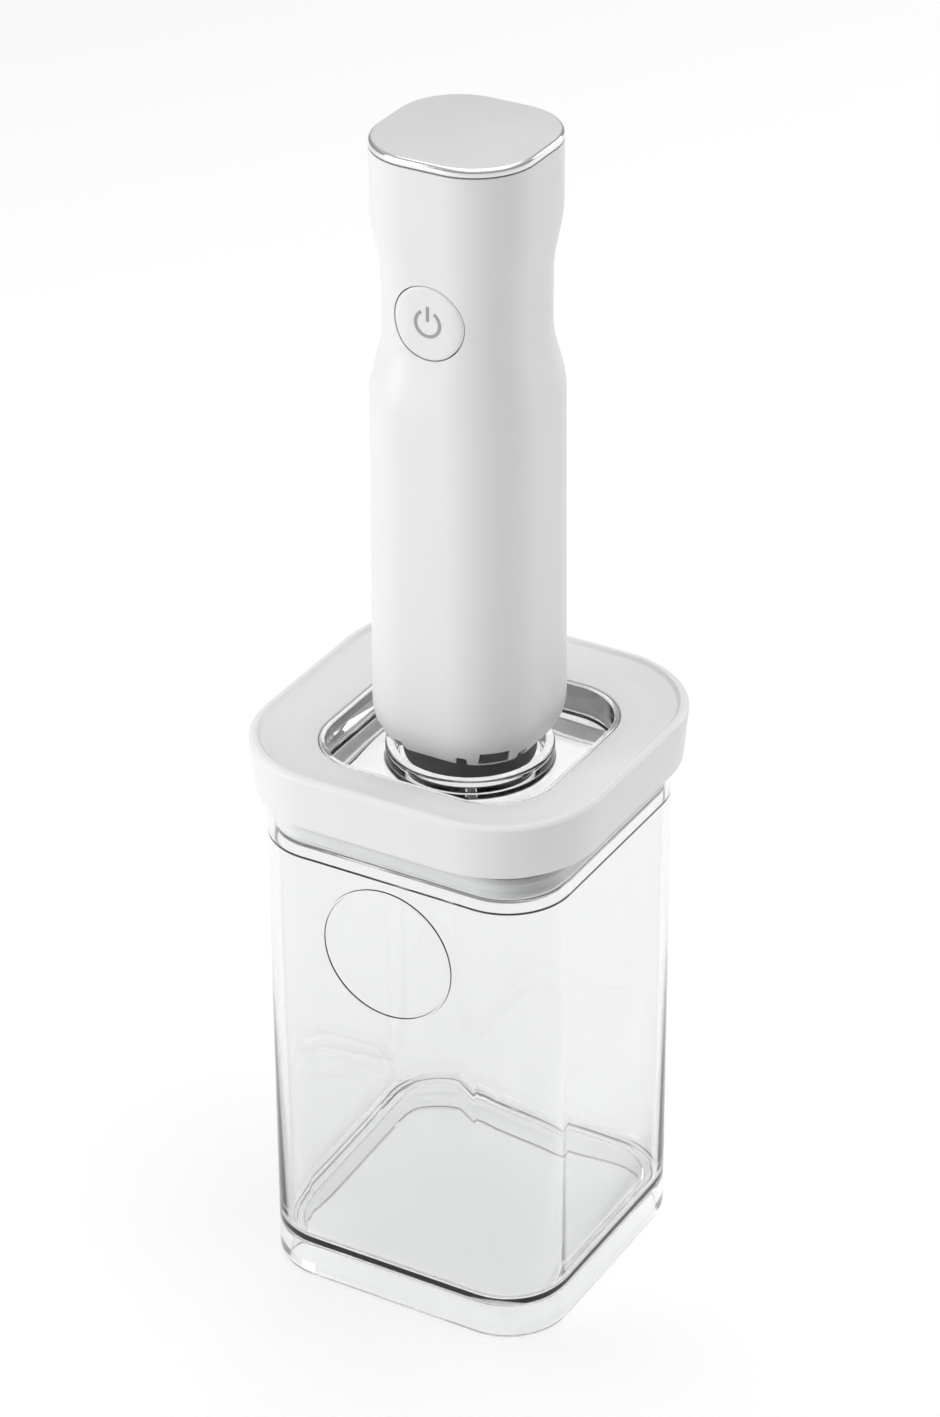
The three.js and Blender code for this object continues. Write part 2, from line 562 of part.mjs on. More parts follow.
place(vacuumPump, 'inner_frame', innerFrame(), FRAME_GREY);
place(vacuumPump, 'battery_cell', batteryCell(), CELL_WRAP);
place(vacuumPump, 'cell_contact_bottom', box(8, 10, 0.3, 0, CELL.y, CELL.bottom - 0.6), STEEL);
place(vacuumPump, 'cell_contact_top', box(8, 10, 0.3, 0, CELL.y, CELL.bottom + CELL.length + 0.6), STEEL);
place(vacuumPump, 'control_board', controlBoard(), GREEN);
[-1, 1].forEach((way, i) => {
  const boardScrew = screw(0.85, 3, 1.7, 1).rotateX(Math.PI / 2);
  place(vacuumPump, `board_screw_${i + 1}`, boardScrew, STEEL)
    .position.set(way * BOARD.screwX, BOARD.y - BOARD.thick / 2 - GAP, BOARD.bottom + BOARD.screwUp);
});
place(vacuumPump, 'switch_body', switchBody(), DARK);
place(vacuumPump, 'switch_plunger', disc(SWITCH.radius, 0.9, 0, SWITCH.plunger, BUTTON.z, 16), FRAME_GREY);
place(vacuumPump, 'charge_board', box(20, 22, 1.2, 0, 8, SOCKET.z - SOCKET.height / 2 - GAP - 0.6), GREEN);
place(vacuumPump, 'charging_socket', chargingSocket(), STEEL);
place(vacuumPump, 'motor_lead_red', lead(1), RED);
place(vacuumPump, 'motor_lead_black', lead(-1), DARK);

export default scene;
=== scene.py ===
import json
import math

import bmesh
import bpy
from bpy.props import FloatProperty, FloatVectorProperty, IntProperty, PointerProperty
from mathutils import Matrix, Vector


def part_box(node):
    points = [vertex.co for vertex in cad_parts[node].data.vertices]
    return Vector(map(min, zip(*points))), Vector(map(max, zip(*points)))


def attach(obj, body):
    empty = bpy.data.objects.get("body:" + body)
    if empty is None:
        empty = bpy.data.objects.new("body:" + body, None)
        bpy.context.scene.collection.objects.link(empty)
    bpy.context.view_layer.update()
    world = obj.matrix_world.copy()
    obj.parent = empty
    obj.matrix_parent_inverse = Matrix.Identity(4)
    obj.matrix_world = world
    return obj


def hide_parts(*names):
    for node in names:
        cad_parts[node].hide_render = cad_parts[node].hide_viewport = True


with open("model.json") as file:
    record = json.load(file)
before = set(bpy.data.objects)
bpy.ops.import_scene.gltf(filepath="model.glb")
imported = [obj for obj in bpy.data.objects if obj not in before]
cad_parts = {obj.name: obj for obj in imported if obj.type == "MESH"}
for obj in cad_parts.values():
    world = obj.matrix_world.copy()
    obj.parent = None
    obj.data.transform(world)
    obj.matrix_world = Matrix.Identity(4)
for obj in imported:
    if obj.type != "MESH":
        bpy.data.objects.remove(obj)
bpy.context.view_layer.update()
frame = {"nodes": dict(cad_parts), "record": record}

bl_info = {
    "name": "Vacuum pump and storage box",
    "version": (1, 0, 0),
    "blender": (4, 5, 0),
    "location": "View3D > Sidebar > Vacuum Pump",
    "description": "Builds the visible shell, seals, lid and clear box of a docked hand vacuum pump",
    "category": "Object",
}

CAD_MATERIALS = set(bpy.data.materials.keys())
MM = 0.001
NUDGE = 0.02 * MM

BOX_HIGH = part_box("storage_box")[1]
FRAME_LOW, FRAME_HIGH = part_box("lid_frame")
WINDOW_LOW, WINDOW_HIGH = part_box("lid_window")
GASKET_LOW, GASKET_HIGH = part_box("lid_gasket")
VALVE_LOW, VALVE_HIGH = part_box("lid_valve")
SHELL_LOW, SHELL_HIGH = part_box("housing_shell")
CAP_LOW, CAP_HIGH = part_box("metal_cap")
BUTTON_LOW, BUTTON_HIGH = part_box("power_button")
SEAL_LOW, SEAL_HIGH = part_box("suction_seal")
SOCKET_LOW, SOCKET_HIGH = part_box("charging_socket")


def length(name, description, value, **more):
    return FloatProperty(
        name=name, description=description, default=value * MM, unit="LENGTH", precision=5, **more,
    )


def colour(name, description, value):
    return FloatVectorProperty(
        name=name, description=description, default=value, subtype="COLOR", size=3, min=0, max=1,
    )


class BoxSizes(bpy.types.PropertyGroup):
    """Sizes of the clear storage box"""

    half: length("Half width", "Half the distance across the box's flat sides", 48.3)
    corner: length("Corner radius", "Radius of the upright corners", 20)
    wall: length("Wall", "Thickness of the walls below the ledge", 3)
    rim_wall: length("Rim wall", "Thickness of the walls above the ledge", 2)
    ledge: length("Ledge height", "Height of the step inside the walls", 149)
    foot: length("Foot height", "Depth of the hollow under the floor", 9.5)
    floor: length("Floor height", "Height of the inside floor", 12.5)
    rim_corner: length("Rim corner radius", "Radius of the corners of the flange at the mouth", 28)
    badge: length("Badge radius", "Radius of the raised ring on the front wall", 21.5)
    badge_height: length("Badge height", "Height of the middle of the raised ring", 125)


class LidSizes(bpy.types.PropertyGroup):
    """Sizes of the lid frame, the window and its boss"""

    corner: length("Corner radius", "Radius of the frame's outer corners", 32)
    taper: length("Skirt taper", "How far the skirt draws in towards its bottom edge", 1.3)
    wall: length("Skirt wall", "Thickness of the skirt", 2.4)
    opening: length("Opening half width", "Half the distance across the window opening", 37.2)
    opening_corner: length("Opening corner", "Corner radius of the window opening", 20)
    window_top: length("Window rim height", "Height of the window's upper edge", 176)
    floor: length("Window floor height", "Height of the window's flat floor", 166.5)
    boss: length("Boss radius", "Outer radius of the round docking boss", 24.5)
    boss_top: length("Boss height", "Height of the top of the boss", 172)
    pad: length("Pad radius", "Radius of the pad that the pump's seal rests on", 20.5)
    pad_top: length("Pad height", "Height of the top of the pad", 168.2)
    plug: length("Plug half width", "Half the distance across the plug under the window", 44)
    plug_wall: length("Plug wall", "Thickness of the plug's wall", 1.6)
    tray_wall: length("Tray wall", "Thickness of the window's upright wall", 1.5)
    plate: length("Window plate", "Thickness of the window's floor", 2)
    boss_wall: length("Boss wall", "Thickness of the round docking boss", 3)
    air_hole: length("Valve hole radius", "Radius of the hole for the release valve's stem", 1.9)
    clearance: length("Clearance", "Gap between the window and the frame round it", 0.3)


class PumpSizes(bpy.types.PropertyGroup):
    """Sizes of the pump's casing"""

    half: length("Foot half width", "Half the distance across the casing near its foot", 25.5)
    body: length("Body half width", "Half the distance across the casing under the waist", 25)
    waist: length("Waist half width", "Half the distance across the finger waist", 21.6)
    head: length("Head half width", "Half the distance across the casing under the cap", 24.15)
    wall: length("Wall", "Thickness of the casing", 1.8)
    tuck: length("Foot tuck", "How far the casing draws in at its lower edge", 3.6)
    tuck_height: length("Tuck height", "Height over which the casing draws in", 12)
    roundness: FloatProperty(
        name="Roundness", description="Corner radius as a share of the half width", default=0.75,
    )
    waist_low: length("Waist start", "Height at which the casing starts to narrow", 284)
    waist_from: length("Waist lower edge", "Lower end of the narrowest stretch", 304)
    waist_to: length("Waist upper edge", "Upper end of the narrowest stretch", 320)
    waist_high: length("Waist end", "Height at which the casing is wide again", 340)
    button: length("Button radius", "Radius of the push button", 10.7)
    button_gap: length("Button gap", "Gap between the button and the casing", 0.35)
    cap_edge: length("Cap edge radius", "Rounding of the metal cap's edge", 1.2)


class Finish(bpy.types.PropertyGroup):
    """Colours of the finishes, and how finely curves are cut"""

    white: colour("White plastic", "Casing, button and lid frame", (0.765, 0.765, 0.762))
    metal: colour("Cap metal", "Satin cap", (0.80, 0.80, 0.81))
    clear: colour("Clear plastic", "Box", (0.91, 0.914, 0.914))
    # Painted shade: the clear box's edge colour is darker than its body colour and is laid on where the wall
    # is seen edge on, in place of dark reflections.
    clear_painted_edge_shade: colour("Clear plastic edge", "Box seen edge on", (0.82, 0.826, 0.83))
    window: colour("Window plastic", "Window in the lid", (0.99, 0.992, 0.992))
    # Painted shade: the window's edge colour is a little darker than its body colour and is laid on where it
    # is seen edge on, in place of dark reflections.
    window_painted_edge_shade: colour("Window plastic edge", "Window seen edge on", (0.97, 0.972, 0.972))
    milky: colour("Milky silicone", "Lid gasket and valve", (0.80, 0.81, 0.81))
    rubber: colour("Grey silicone", "Suction seal", (0.095, 0.097, 0.10))
    mark: colour("Printed mark", "Symbol on the button", (0.33, 0.33, 0.335))
    corner_steps: IntProperty(
        name="Corner steps", description="Edges in each rounded corner", default=15, min=4,
    )


def settings():
    """The sizes and finishes that the sidebar shows."""
    return bpy.context.scene.vacuum_pump


# ---- shapes ----
def rounded(profile, steps=4):
    """Turns (half width, height, rounding) corners into a smooth outline of (half width, height) points."""
    outline = []
    for i, (half, height, radius) in enumerate(profile):
        here = Vector((half, height))
        if radius == 0:
            outline.append(here)
            continue
        back = (Vector(profile[i - 1][:2]) - here).normalized()
        ahead = (Vector(profile[(i + 1) % len(profile)][:2]) - here).normalized()
        angle = back.angle(ahead)
        centre = here + (back + ahead).normalized() * radius / math.sin(angle / 2)
        reach = radius / math.tan(angle / 2)
        first = (here + back * reach - centre).normalized()
        last = (here + ahead * reach - centre).normalized()
        outline += [centre + first.slerp(last, k / steps) * radius for k in range(steps + 1)]
    return outline


def in_metres(profile):
    return [(half * MM, height * MM, radius * MM) for half, height, radius in profile]


def turned(bm, outline, steps=96):
    """Spins an outline of (radius, height) points round the Z axis."""
    verts = [bm.verts.new((radius, 0, height)) for radius, height in outline]
    edges = [bm.edges.new(pair) for pair in zip(verts, verts[1:])]
    if outline[0][0] > 0:
        edges.append(bm.edges.new((verts[-1], verts[0])))
    bmesh.ops.spin(
        bm, geom=verts + edges, cent=(0, 0, 0), axis=(0, 0, 1), dvec=(0, 0, 0),
        angle=2 * math.pi, steps=steps, use_merge=True, use_duplicate=False,
    )


def squared(bm, outline, corner_of):
    """Spins an outline of (half width, height) points and moves each turned point on to a rounded square."""
    per_side = settings().finish.corner_steps + 1
    turned(bm, outline, 4 * per_side)
    for vert in bm.verts:
        half = math.hypot(vert.co.x, vert.co.y)
        if half < NUDGE:
            continue
        step = round(math.atan2(vert.co.y, vert.co.x) / (2 * math.pi) * 4 * per_side) % (4 * per_side)
        side, part = divmod(step, per_side)
        angle = (side + part / (per_side - 1)) * math.pi / 2
        corner = min(corner_of(half), half)
        sign_x = 1 if side in (0, 3) else -1
        sign_y = 1 if side < 2 else -1
        vert.co.x = sign_x * (half - corner) + corner * math.cos(angle)
        vert.co.y = sign_y * (half - corner) + corner * math.sin(angle)


def block(bm, size, place, turn=0.0, bevel=0.0):
    """Adds a box, turned about the Z axis after it is placed."""
    spot = Matrix.Rotation(turn, 4, "Z") @ Matrix.Translation(place) @ Matrix.Diagonal((*size, 1))
    verts = bmesh.ops.create_cube(bm, size=1, matrix=spot)["verts"]
    if bevel:
        edges = list({edge for vert in verts for edge in vert.link_edges})
        bmesh.ops.bevel(
            bm, geom=edges, offset=bevel, affect="EDGES", segments=3, profile=0.5, material=-1,
            clamp_overlap=True,
        )


def peg(bm, radius, depth, place, along="Z", segments=64):
    """Adds a closed cylinder along an axis."""
    turns = {"Z": Matrix(), "Y": Matrix.Rotation(math.pi / 2, 4, "X")}
    bmesh.ops.create_cone(
        bm, cap_ends=True, radius1=radius, radius2=radius, depth=depth, segments=segments,
        matrix=Matrix.Translation(place) @ turns[along],
    )


def tidy(bm, sharp):
    """Merges doubles, points the faces out and marks the hard edges."""
    bmesh.ops.remove_doubles(bm, verts=bm.verts, dist=0.002 * MM)
    bmesh.ops.recalc_face_normals(bm, faces=bm.faces)
    shade(bm, sharp)


def shade(bm, sharp):
    for face in bm.faces:
        face.smooth = True
    for edge in bm.edges:
        edge.smooth = edge.calc_face_angle(0.0) < math.radians(sharp)


def as_object(bm, name):
    mesh = bpy.data.meshes.new(name)
    bm.to_mesh(mesh)
    bm.free()
    piece = bpy.data.objects.new(name, mesh)
    bpy.context.scene.collection.objects.link(piece)
    return piece


def piece_from(bm, name, material, body, nodes, sharp=35):
    """Makes the finished object, rides it on its body and hides the CAD nodes that it stands for."""
    tidy(bm, sharp)
    piece = as_object(bm, name)
    return settle(piece, material, body, nodes)


def settle(piece, material, body, nodes):
    piece.data.materials.clear()
    piece.data.materials.append(material)
    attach(piece, body)
    if nodes:
        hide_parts(*nodes)
    return piece


def combined(bm, tool_bm, operation, name, edge=0.0, sharp=35):
    """Cuts or joins two closed skins, then softens the new hard edges."""
    tidy(bm, sharp)
    tidy(tool_bm, sharp)
    piece = as_object(bm, name)
    tool = as_object(tool_bm, name + "_tool")
    change = piece.modifiers.new("carve", "BOOLEAN")
    change.operation = operation
    change.solver = "EXACT"
    change.object = tool
    result = bpy.data.meshes.new_from_object(piece.evaluated_get(bpy.context.evaluated_depsgraph_get()))
    piece.modifiers.clear()
    piece.data = result
    bpy.data.objects.remove(tool)
    if not result.polygons:
        raise RuntimeError(name + " came out empty")
    carved = bmesh.new()
    carved.from_mesh(result)
    bmesh.ops.remove_doubles(carved, verts=carved.verts, dist=0.005 * MM)
    if edge:
        hard = [e for e in carved.edges if e.calc_face_angle(0.0) > math.radians(55)]
        bmesh.ops.bevel(
            carved, geom=hard, offset=edge, affect="EDGES", segments=2, profile=0.5, material=-1,
            clamp_overlap=True,
        )
    shade(carved, sharp)
    carved.to_mesh(result)
    carved.free()
    return piece


# ---- shader groups ----
def node_group(name, inputs, outputs):
    tree = bpy.data.node_groups.new(name, "ShaderNodeTree")
    for label, value in inputs:
        socket = tree.interface.new_socket(name=label, in_out="INPUT", socket_type="NodeSocketFloat")
        socket.default_value = value
    for label in outputs:
        tree.interface.new_socket(name=label, in_out="OUTPUT", socket_type="NodeSocketFloat")
    return tree, tree.nodes.new("NodeGroupInput").outputs, tree.nodes.new("NodeGroupOutput").inputs


def add(tree, kind, links=(), **values):
    """Adds a node, sets its plain properties and joins its inputs by name."""
    node = tree.nodes.new(kind)
    for key, value in values.items():
        setattr(node, key, value)
    for key, source in links:
        if isinstance(source, bpy.types.NodeSocket):
            tree.links.new(source, node.inputs[key])
        else:
            node.inputs[key].default_value = source
    return node


def moulded_grain():
    """Fine texture of a mould, slow change of gloss from handling, and a slow change of tone."""
    if "Moulded grain" in bpy.data.node_groups:
        return bpy.data.node_groups["Moulded grain"]
    tree, given, out = node_group(
        "Moulded grain",
        [("Scale", 900.0), ("Roughness low", 0.35), ("Roughness high", 0.45)],
        ["Roughness", "Height", "Tone"],
    )
    place = add(tree, "ShaderNodeTexCoord").outputs["Object"]
    fine = add(tree, "ShaderNodeTexNoise", [("Vector", place), ("Scale", given["Scale"]), ("Detail", 3.0)])
    slow = add(tree, "ShaderNodeTexNoise", [("Vector", place), ("Scale", 28.0), ("Detail", 5.0)])
    broad = add(tree, "ShaderNodeTexNoise", [("Vector", place), ("Scale", 9.0), ("Detail", 2.0)])
    gloss = add(tree, "ShaderNodeMapRange", [
        ("Value", slow.outputs["Fac"]), ("From Min", 0.35), ("From Max", 0.65),
        ("To Min", given["Roughness low"]), ("To Max", given["Roughness high"]),
    ])
    tree.links.new(gloss.outputs["Result"], out["Roughness"])
    tree.links.new(fine.outputs["Fac"], out["Height"])
    tree.links.new(broad.outputs["Fac"], out["Tone"])
    return tree


def rub_marks():
    """Thin hairlines from wiping, crossing at two slopes."""
    if "Rub marks" in bpy.data.node_groups:
        return bpy.data.node_groups["Rub marks"]
    tree, given, out = node_group("Rub marks", [("Scale", 60.0), ("Amount", 0.5)], ["Mask"])
    place = add(tree, "ShaderNodeTexCoord").outputs["Object"]
    masks = []
    for slope in (0.5, -0.9):
        turned_place = add(tree, "ShaderNodeMapping", [
            ("Vector", place), ("Rotation", (slope, slope / 2, slope)), ("Scale", (1.0, 26.0, 26.0)),
        ])
        lines = add(tree, "ShaderNodeTexNoise", [
            ("Vector", turned_place.outputs["Vector"]), ("Scale", given["Scale"]), ("Detail", 1.0),
        ])
        thin = add(tree, "ShaderNodeMapRange", [
            ("Value", lines.outputs["Fac"]), ("From Min", 0.66), ("From Max", 0.74),
        ])
        masks.append(thin.outputs["Result"])
    both = add(tree, "ShaderNodeMath", [(0, masks[0]), (1, masks[1])], operation="MAXIMUM")
    scaled = add(tree, "ShaderNodeMath", [(0, both.outputs[0]), (1, given["Amount"])], operation="MULTIPLY")
    tree.links.new(scaled.outputs[0], out["Mask"])
    return tree


# ---- materials ----
def already_made(name):
    """The material of that name, if an operator has made it before. The CAD's own names are refused."""
    if name in CAD_MATERIALS:
        raise RuntimeError(name + " is the name of a CAD material")
    return bpy.data.materials.get(name)


def surface(name):
    """A new material and its tree, shader and grain group."""
    material = bpy.data.materials.new(name)
    material.use_nodes = True
    tree = material.node_tree
    shader = tree.nodes["Principled BSDF"]
    grain = tree.nodes.new("ShaderNodeGroup")
    grain.node_tree = moulded_grain()
    return material, tree, shader, grain


def toned(tree, shader, grain, base, depth):
    """Base colour that drifts a little darker with the broad tone."""
    darker = [channel * (1 - depth) for channel in base]
    mix = add(tree, "ShaderNodeMix", [(0, grain.outputs["Tone"])], data_type="RGBA")
    mix.inputs[6].default_value = (*darker, 1)
    mix.inputs[7].default_value = (*base, 1)
    tree.links.new(mix.outputs[2], shader.inputs["Base Color"])
    return mix


def bumped(tree, shader, height, strength, distance):
    bump = add(tree, "ShaderNodeBump", [("Height", height), ("Strength", strength), ("Distance", distance)])
    tree.links.new(bump.outputs["Normal"], shader.inputs["Normal"])


def plastic(name, base, low, high, scale=900.0, bump=0.25, depth=0.03, coat=0.0, specular=0.5):
    """Moulded plastic or rubber with grain, uneven gloss and a faint drift of tone."""
    made = already_made(name)
    if made:
        return made
    material, tree, shader, grain = surface(name)
    grain.inputs["Scale"].default_value = scale
    grain.inputs["Roughness low"].default_value = low
    grain.inputs["Roughness high"].default_value = high
    toned(tree, shader, grain, base, depth)
    tree.links.new(grain.outputs["Roughness"], shader.inputs["Roughness"])
    shader.inputs["Specular IOR Level"].default_value = specular
    shader.inputs["Coat Weight"].default_value = coat
    bumped(tree, shader, grain.outputs["Height"], bump, 0.02 * MM)
    return material


def metal(name, base, low, high, scale=500.0, bump=0.2):
    """Bare metal with fine tooling grain."""
    material = plastic(name, base, low, high, scale, bump, 0.06)
    material.node_tree.nodes["Principled BSDF"].inputs["Metallic"].default_value = 1.0
    return material


def white_plastic():
    return plastic("white_plastic", settings().finish.white, 0.34, 0.44, 1400.0, 0.12, 0.012)


def satin_cap_metal():
    """Bead-blasted top with a polished edge, told apart by how far the surface leans over."""
    made = already_made("blasted_metal")
    if made:
        return made
    material, tree, shader, grain = surface("blasted_metal")
    grain.inputs["Scale"].default_value = 2600.0
    grain.inputs["Roughness low"].default_value = 0.42
    grain.inputs["Roughness high"].default_value = 0.48
    toned(tree, shader, grain, settings().finish.metal, 0.02)
    shader.inputs["Metallic"].default_value = 1.0
    normal = add(tree, "ShaderNodeNewGeometry").outputs["Normal"]
    lean = add(tree, "ShaderNodeSeparateXYZ", [(0, normal)]).outputs["Z"]
    flat = add(tree, "ShaderNodeMapRange", [
        ("Value", lean), ("From Min", 0.93), ("From Max", 0.995), ("To Min", 0.0), ("To Max", 1.0),
    ]).outputs["Result"]
    mix = add(tree, "ShaderNodeMix", [(0, flat), (2, 0.13), (3, grain.outputs["Roughness"])])
    tree.links.new(mix.outputs[0], shader.inputs["Roughness"])
    strength = add(tree, "ShaderNodeMath", [(0, grain.outputs["Height"]), (1, flat)], operation="MULTIPLY")
    bumped(tree, shader, strength.outputs[0], 0.25, 0.02 * MM)
    return material


def clear_plastic(name, body, edge):
    """Thick clear plastic, glossy, with faint wiping marks, and with painted shade where it is seen edge on,
    standing in for dark reflections at its edges.
    """
    made = already_made(name)
    if made:
        return made
    material, tree, shader, grain = surface(name)
    # Painted shade: the base colour turns from the body colour to the darker edge colour (the argument edge)
    # where the surface is seen edge on, in place of dark reflections.
    facing = add(tree, "ShaderNodeLayerWeight", [("Blend", 0.5)]).outputs["Facing"]
    edge_shade_share = add(tree, "ShaderNodeMapRange", [("Value", facing), ("From Min", 0.6), ("From Max", 1.0)])
    tint_and_painted_shade = add(tree, "ShaderNodeMix", [
        (0, edge_shade_share.outputs["Result"]), (6, (*body, 1)), (7, (*edge, 1)),
    ], data_type="RGBA")
    tree.links.new(tint_and_painted_shade.outputs[2], shader.inputs["Base Color"])
    shader.inputs["Transmission Weight"].default_value = 1.0
    shader.inputs["IOR"].default_value = 1.5
    grain.inputs["Roughness low"].default_value = 0.0
    grain.inputs["Roughness high"].default_value = 0.002
    rubs = add(tree, "ShaderNodeGroup")
    rubs.node_tree = rub_marks()
    rubs.inputs["Amount"].default_value = 0.01
    both = [(0, grain.outputs["Roughness"]), (1, rubs.outputs["Mask"])]
    total = add(tree, "ShaderNodeMath", both, operation="ADD")
    tree.links.new(total.outputs[0], shader.inputs["Roughness"])
    bumped(tree, shader, grain.outputs["Tone"], 0.015, 1.0 * MM)
    let_lamps_through(tree, shader)
    return material


def box_plastic():
    return clear_plastic("clear_wall", settings().finish.clear, settings().finish.clear_painted_edge_shade)


def window_plastic():
    return clear_plastic("clear_window", settings().finish.window, settings().finish.window_painted_edge_shade)


def let_lamps_through(tree, shader):
    """Lets lamp light pass the clear walls, so that what is behind them is lit."""
    path = add(tree, "ShaderNodeLightPath")
    bare = add(tree, "ShaderNodeBsdfTransparent", [("Color", (0.985, 0.988, 0.988, 1))])
    either = add(tree, "ShaderNodeMixShader", [
        (0, path.outputs["Is Shadow Ray"]), (1, shader.outputs["BSDF"]), (2, bare.outputs["BSDF"]),
    ])
    tree.links.new(either.outputs["Shader"], tree.nodes["Material Output"].inputs["Surface"])


def circuit_board():
    """Solder mask with copper tracks showing through as a lighter pattern."""
    made = already_made("circuit_board")
    if made:
        return made
    material, tree, shader, grain = surface("circuit_board")
    place = add(tree, "ShaderNodeTexCoord").outputs["Object"]
    tracks = add(tree, "ShaderNodeTexBrick", [
        ("Vector", place), ("Scale", 260.0), ("Mortar Size", 0.03),
        ("Color1", (0.012, 0.09, 0.04, 1)), ("Color2", (0.015, 0.11, 0.05, 1)),
        ("Mortar", (0.04, 0.22, 0.10, 1)),
    ])
    tree.links.new(tracks.outputs["Color"], shader.inputs["Base Color"])
    tree.links.new(grain.outputs["Roughness"], shader.inputs["Roughness"])
    bumped(tree, shader, tracks.outputs["Fac"], 0.3, 0.03 * MM)
    return material


# ---- pump shape ----
def smooth_step(share):
    return share * share * (3 - 2 * share)


def pump_half(height):
    """Half width of the casing at a height."""
    pump = settings().pump
    tuck_end = SHELL_LOW[2] + pump.tuck_height
    if height < tuck_end:
        return pump.half - pump.tuck * ((tuck_end - height) / pump.tuck_height) ** 2.6
    if height < pump.waist_low:
        return pump.half + (pump.body - pump.half) * (height - tuck_end) / (pump.waist_low - tuck_end)
    if height < pump.waist_from:
        share = (height - pump.waist_low) / (pump.waist_from - pump.waist_low)
        return pump.body + (pump.waist - pump.body) * smooth_step(share)
    if height < pump.waist_to:
        return pump.waist
    if height < pump.waist_high:
        share = (height - pump.waist_to) / (pump.waist_high - pump.waist_to)
        return pump.waist + (pump.head - pump.waist) * smooth_step(share)
    return pump.head


def pump_corner(half):
    return settings().pump.roundness * half


def casing_front(x, height, inset=0.0):
    """Y of the casing's front face at a place across it."""
    half = pump_half(height) - inset
    corner = pump_corner(half)
    beyond = max(abs(x) - (half - corner), 0.0)
    return -(half - corner + math.sqrt(max(corner**2 - beyond**2, 0.0)))


def casing_heights(step=1.6 * MM):
    low, high = SHELL_LOW[2], SHELL_HIGH[2]
    count = round((high - low) / step)
    return [low + (high - low) * i / count for i in range(count + 1)]


BUTTON_HEIGHT = (BUTTON_LOW[2] + BUTTON_HIGH[2]) / 2
SOCKET_HEIGHT = (SOCKET_LOW[2] + SOCKET_HIGH[2]) / 2


def build_casing():
    pump = settings().pump
    edge = 0.5 * MM
    heights = casing_heights()
    outside = [(pump_half(z), z) for z in heights]
    inside = [(pump_half(z) - pump.wall, z) for z in reversed(heights)]
    outside[0] = (outside[0][0] - edge, heights[0])
    outside.insert(1, (pump_half(heights[0] + edge), heights[0] + edge))
    bm = bmesh.new()
    squared(bm, outside + inside, pump_corner)

    tools = bmesh.new()
    peg(tools, pump.button + pump.button_gap, 12 * MM, (0, -pump.waist, BUTTON_HEIGHT), "Y", 96)
    slot = (10.0 * MM, 8 * MM, 4.2 * MM)
    block(tools, slot, (0, pump.head, SOCKET_HEIGHT), bevel=2.0 * MM)
    for eighth in (1, 3, 5, 7):
        spot = (25 * MM, 0, SHELL_LOW[2] + 3.4 * MM)
        block(tools, (8 * MM, 8.8 * MM, 4.4 * MM), spot, eighth * math.pi / 4)
    for side in range(4):
        for way in (-1, 1):
            spot = (22 * MM, 0, SHELL_LOW[2])
            block(tools, (8 * MM, 3.2 * MM, 7 * MM), spot, side * math.pi / 2 + way * 0.42, bevel=0.6 * MM)
    piece = combined(bm, tools, "DIFFERENCE", "casing")
    settle(piece, white_plastic(), "pump", ["housing_shell"])


def build_cap():
    pump = settings().pump
    low, high, half = CAP_LOW[2], CAP_HIGH[2], CAP_HIGH[0]
    sheet = 0.8 * MM
    profile = [
        (0, high - sheet, 0), (half - sheet, high - sheet, 1 * MM), (half - sheet, low, 0.1 * MM),
        (half, low, 0.3 * MM), (half, high, pump.cap_edge), (0, high, 0),
    ]
    bm = bmesh.new()
    squared(bm, rounded(profile, 8), pump_corner)
    piece_from(bm, "cap", satin_cap_metal(), "pump", ["metal_cap"], 50)


def build_button():
    pump = settings().pump
    back = BUTTON_HIGH[1]
    depth = back - BUTTON_LOW[1]
    bm = bmesh.new()
    peg(bm, pump.button, depth, (0, back - depth / 2, BUTTON_HEIGHT), "Y", 96)
    front = min(bm.faces, key=lambda face: face.calc_center_median().y)
    rings = 10
    edge = 0.4 * MM
    bmesh.ops.inset_region(bm, faces=[front], thickness=edge)
    for _ in range(rings):
        bmesh.ops.inset_region(bm, faces=[front], thickness=(pump.button - edge) / (rings + 1))
    for vert in bm.verts:
        if vert.co.y > back - depth / 2:
            continue
        away = math.hypot(vert.co.x, vert.co.z - BUTTON_HEIGHT)
        drop = edge * 0.6 if away > pump.button - edge / 2 else 0.0
        vert.co.y = casing_front(vert.co.x, vert.co.z) + drop
    piece_from(bm, "button", white_plastic(), "button", ["power_button"], 40)


